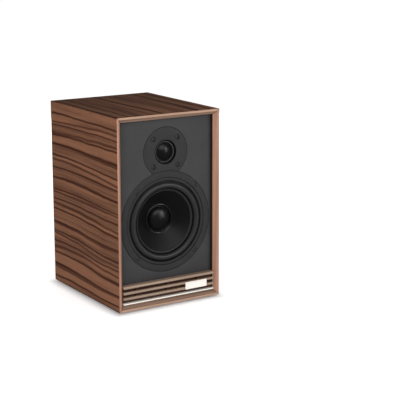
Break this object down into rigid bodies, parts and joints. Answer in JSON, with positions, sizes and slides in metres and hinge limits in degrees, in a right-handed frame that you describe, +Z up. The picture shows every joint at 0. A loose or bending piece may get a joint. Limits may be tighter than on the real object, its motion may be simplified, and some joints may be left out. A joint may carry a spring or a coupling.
{
  "type": "bookshelf speaker",
  "caption": "Two-way bookshelf speaker: mitred walnut cabinet, bevelled front rim, recessed black baffle, slatted foot rail, rear port and screw-down binding posts.",
  "frame": {"origin": "on the surface the feet stand on, under the middle of the cabinet", "axes": "+Z up, front faces -Y, +X to the right as seen from the front"},
  "size_m": [0.18, 0.216, 0.3],
  "materials": {
    "walnut_veneer": "satin walnut veneer",
    "rail_walnut": "satin walnut, lighter than the veneer",
    "baffle_paint": "satin charcoal paint on fibreboard",
    "black_paint": "flat black paint",
    "rear_paint": "black textured paint on fibreboard",
    "bright_trim": "satin silver",
    "driver_frame": "satin black powder coat",
    "satin_black_plastic": "satin black moulding",
    "gloss_black_plastic": "black moulding",
    "surround_rubber": "butyl rubber",
    "foot_rubber": "rubber pad",
    "gasket_foam": "closed-cell foam",
    "cone_polymer": "satin black polypropylene",
    "dome_silk": "coated black silk",
    "spider_cloth": "resin-dipped cotton",
    "coil_copper": "enamelled copper wire",
    "zinc_steel": "zinc plate",
    "ferrite": "sintered ferrite",
    "black_screw": "black oxide",
    "gold_plate": "gold-plated brass",
    "red_plastic": "red moulding",
    "tag_board": "phenolic sheet",
    "circuit_board": "green solder mask",
    "capacitor_film": "yellow film wrap",
    "resistor_ceramic": "cement",
    "cable_jacket": "red-brown sheath",
    "wadding_fibre": "polyester fibre"
  },
  "bodies": {
    "cabinet": {"accent_strip": "bright_trim", "acoustic_wadding": "wadding_fibre", "badge_plate": "bright_trim", "black_post": "gold_plate", "bottom_panel": "walnut_veneer", "crossover_board": "circuit_board", "crossover_capacitor": "capacitor_film", "crossover_inductor": "coil_copper", "crossover_resistor": "resistor_ceramic", "front_baffle": "baffle_paint", "front_left_foot": "foot_rubber", "front_right_foot": "foot_rubber", "input_cable": "cable_jacket", "left_side_panel": "walnut_veneer", "lower_slat": "rail_walnut", "port_tube": "gloss_black_plastic", "rear_left_foot": "foot_rubber", "rear_panel": "rear_paint", "rear_right_foot": "foot_rubber", "red_post": "gold_plate", "right_side_panel": "walnut_veneer", "slat_carrier": "black_paint", "terminal_cup": "gloss_black_plastic", "top_panel": "walnut_veneer", "top_rail": "rail_walnut", "tweeter_cable": "cable_jacket", "tweeter_faceplate": "satin_black_plastic", "tweeter_magnet": "ferrite", "tweeter_rear_chamber": "gloss_black_plastic", "tweeter_screw_1": "black_screw", "tweeter_screw_2": "black_screw", "tweeter_screw_3": "black_screw", "tweeter_screw_4": "black_screw", "tweeter_surround": "surround_rubber", "tweeter_top_plate": "zinc_steel", "tweeter_yoke": "zinc_steel", "upper_slat": "rail_walnut", "woofer_basket": "driver_frame", "woofer_cable": "cable_jacket", "woofer_gasket": "gasket_foam", "woofer_magnet": "ferrite", "woofer_screw_1": "black_screw", "woofer_screw_2": "black_screw", "woofer_screw_3": "black_screw", "woofer_screw_4": "black_screw", "woofer_spider": "spider_cloth", "woofer_surround": "surround_rubber", "woofer_terminal_strip": "tag_board", "woofer_top_plate": "zinc_steel", "woofer_trim_ring": "satin_black_plastic", "woofer_yoke": "zinc_steel"},
    "woofer_diaphragm": {"woofer_cone": "cone_polymer", "woofer_dust_cap": "cone_polymer", "woofer_voice_coil": "coil_copper"},
    "tweeter_diaphragm": {"tweeter_dome": "dome_silk", "tweeter_voice_coil": "coil_copper"},
    "red_collar_body": {"red_collar": "gold_plate"},
    "red_knob_body": {"red_knob": "red_plastic"},
    "black_collar_body": {"black_collar": "gold_plate"},
    "black_knob_body": {"black_knob": "gloss_black_plastic"}
  },
  "joints": [
    {"name": "woofer_stroke", "type": "slide", "parent": "cabinet", "child": "woofer_diaphragm", "axis": [0, -1, 0], "range_m": [-0.005, 0.005], "stiffness_N_per_m": 1000, "deforming": ["woofer_surround", "woofer_spider"]},
    {"name": "tweeter_stroke", "type": "slide", "parent": "cabinet", "child": "tweeter_diaphragm", "axis": [0, -1, 0], "range_m": [-0.0005, 0.0005], "stiffness_N_per_m": 800, "deforming": ["tweeter_surround"]},
    {"name": "red_collar_slide", "type": "slide", "parent": "cabinet", "child": "red_collar_body", "axis": [0, 1, 0], "range_m": [0, 0.004]},
    {"name": "red_knob_turn", "type": "hinge", "parent": "red_collar_body", "child": "red_knob_body", "pos_m": [0.014, 0.0935, 0.076], "axis": [0, 1, 0], "range_deg": [0, 1445]},
    {"name": "black_collar_slide", "type": "slide", "parent": "cabinet", "child": "black_collar_body", "axis": [0, 1, 0], "range_m": [0, 0.004]},
    {"name": "black_knob_turn", "type": "hinge", "parent": "black_collar_body", "child": "black_knob_body", "pos_m": [-0.014, 0.0935, 0.076], "axis": [0, 1, 0], "range_deg": [0, 1445]}
  ],
  "couplings": [
    {"joint": "red_knob_turn", "follows": "red_collar_slide", "rad_per_m": 6283.2},
    {"joint": "black_knob_turn", "follows": "black_collar_slide", "rad_per_m": 6283.2}
  ]
}
